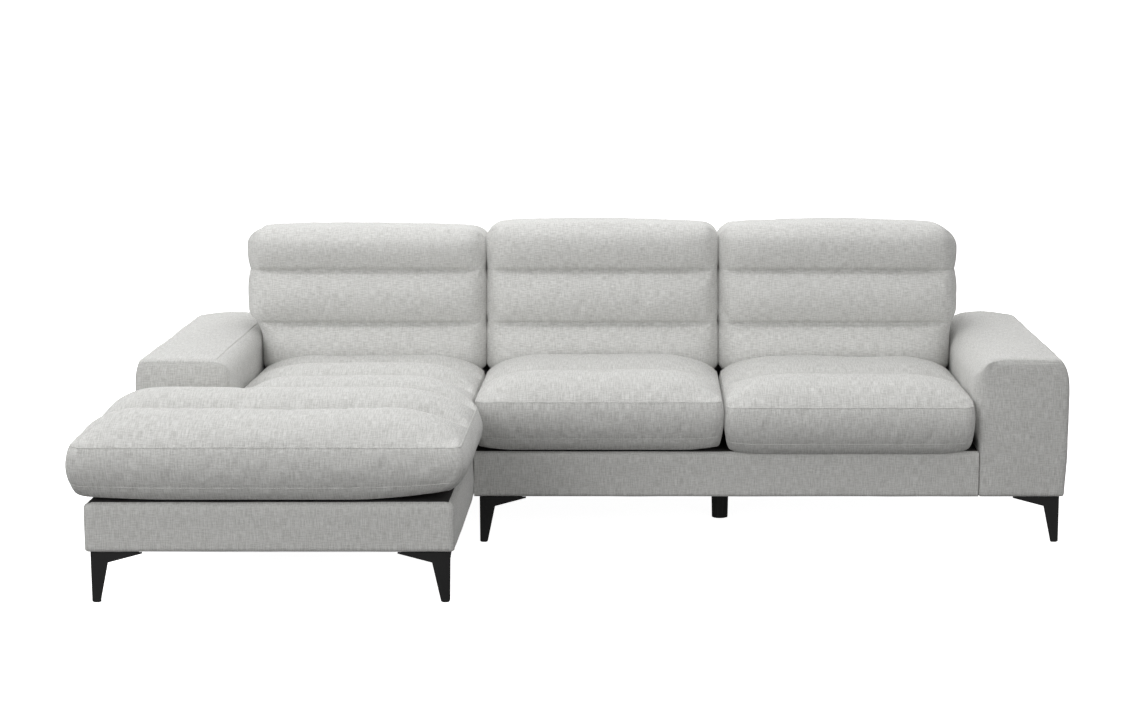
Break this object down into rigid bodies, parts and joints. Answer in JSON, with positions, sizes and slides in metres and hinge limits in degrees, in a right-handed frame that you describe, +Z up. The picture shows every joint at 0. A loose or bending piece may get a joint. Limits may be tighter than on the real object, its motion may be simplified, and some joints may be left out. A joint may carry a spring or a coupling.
{
  "type": "sectional sofa",
  "caption": "Sectional sofa with a left-hand chaise, loose seat and back cushions with sewn channels, square arms and black metal corner legs.",
  "frame": {"origin": "on the floor, under the middle of the box that holds the whole sofa", "axes": "+Z up, +X to the right of someone who faces the sofa, -Y out of its front; the chaise is on the -X side"},
  "size_m": [2.817, 1.6788, 0.905],
  "materials": {
    "cushion_fabric": "light warm grey chenille weave with slubs",
    "base_fabric": "light warm grey chenille weave with slubs, stretched over padding",
    "foam": "open-cell polyurethane foam",
    "lining_cloth": "black non-woven lining",
    "webbing": "elastic jute webbing",
    "deck_felt": "dark felt",
    "leg_steel": "matt black powder coat",
    "black_plastic": "matt black",
    "zinc_steel": "zinc plated",
    "timber": "sawn softwood"
  },
  "bodies": {
    "frame": {"centre_foot": "black_plastic", "chaise_back_inner_pad": "base_fabric", "chaise_back_posts": "timber", "chaise_back_top_rail": "timber", "chaise_bottom_lining": "lining_cloth", "chaise_cross_rail": "timber", "chaise_front_left_leg": "leg_steel", "chaise_front_panel": "base_fabric", "chaise_front_rail": "timber", "chaise_front_right_leg": "leg_steel", "chaise_inner_rail": "timber", "chaise_left_panel": "base_fabric", "chaise_left_rail": "timber", "chaise_outer_back": "base_fabric", "chaise_rear_left_leg": "leg_steel", "chaise_rear_rail": "timber", "chaise_rear_right_leg": "leg_steel", "chaise_right_panel": "base_fabric", "chaise_right_rail": "timber", "chaise_seat_deck": "deck_felt", "chaise_webbing": "webbing", "joining_plates": "zinc_steel", "joining_screws": "zinc_steel", "left_arm_cover": "base_fabric", "left_arm_frame": "timber", "leg_glides": "black_plastic", "leg_screws": "zinc_steel", "right_arm_cover": "base_fabric", "right_arm_frame": "timber", "sofa_back_inner_pad": "base_fabric", "sofa_back_posts": "timber", "sofa_back_top_rail": "timber", "sofa_bottom_lining": "lining_cloth", "sofa_centre_beam": "timber", "sofa_front_left_leg": "leg_steel", "sofa_front_panel": "base_fabric", "sofa_front_rail": "timber", "sofa_front_right_leg": "leg_steel", "sofa_left_rail": "timber", "sofa_outer_back": "base_fabric", "sofa_rear_left_leg": "leg_steel", "sofa_rear_rail": "timber", "sofa_rear_right_leg": "leg_steel", "sofa_right_rail": "timber", "sofa_seat_deck": "deck_felt", "sofa_strap_rail": "timber", "sofa_webbing": "webbing"},
    "chaise_seat_cushion": {"chaise_seat_cushion_cover": "cushion_fabric", "chaise_seat_cushion_foam": "foam"},
    "middle_seat_cushion": {"middle_seat_cushion_cover": "cushion_fabric", "middle_seat_cushion_foam": "foam"},
    "right_seat_cushion": {"right_seat_cushion_cover": "cushion_fabric", "right_seat_cushion_foam": "foam"},
    "chaise_back_cushion": {"chaise_back_cushion_cover": "cushion_fabric", "chaise_back_cushion_foam": "foam"},
    "middle_back_cushion": {"middle_back_cushion_cover": "cushion_fabric", "middle_back_cushion_foam": "foam"},
    "right_back_cushion": {"right_back_cushion_cover": "cushion_fabric", "right_back_cushion_foam": "foam"}
  },
  "joints": [
    {"name": "chaise_seat_cushion_lift", "type": "slide", "parent": "frame", "child": "chaise_seat_cushion", "axis": [0, 0, 1], "range_m": [0, 0.32]},
    {"name": "chaise_back_cushion_lift", "type": "slide", "parent": "chaise_seat_cushion", "child": "chaise_back_cushion", "axis": [0, 0, 1], "range_m": [0, 0.32]},
    {"name": "middle_seat_cushion_lift", "type": "slide", "parent": "frame", "child": "middle_seat_cushion", "axis": [0, 0, 1], "range_m": [0, 0.32]},
    {"name": "middle_back_cushion_lift", "type": "slide", "parent": "middle_seat_cushion", "child": "middle_back_cushion", "axis": [0, 0, 1], "range_m": [0, 0.32]},
    {"name": "right_seat_cushion_lift", "type": "slide", "parent": "frame", "child": "right_seat_cushion", "axis": [0, 0, 1], "range_m": [0, 0.32]},
    {"name": "right_back_cushion_lift", "type": "slide", "parent": "right_seat_cushion", "child": "right_back_cushion", "axis": [0, 0, 1], "range_m": [0, 0.32]}
  ]
}
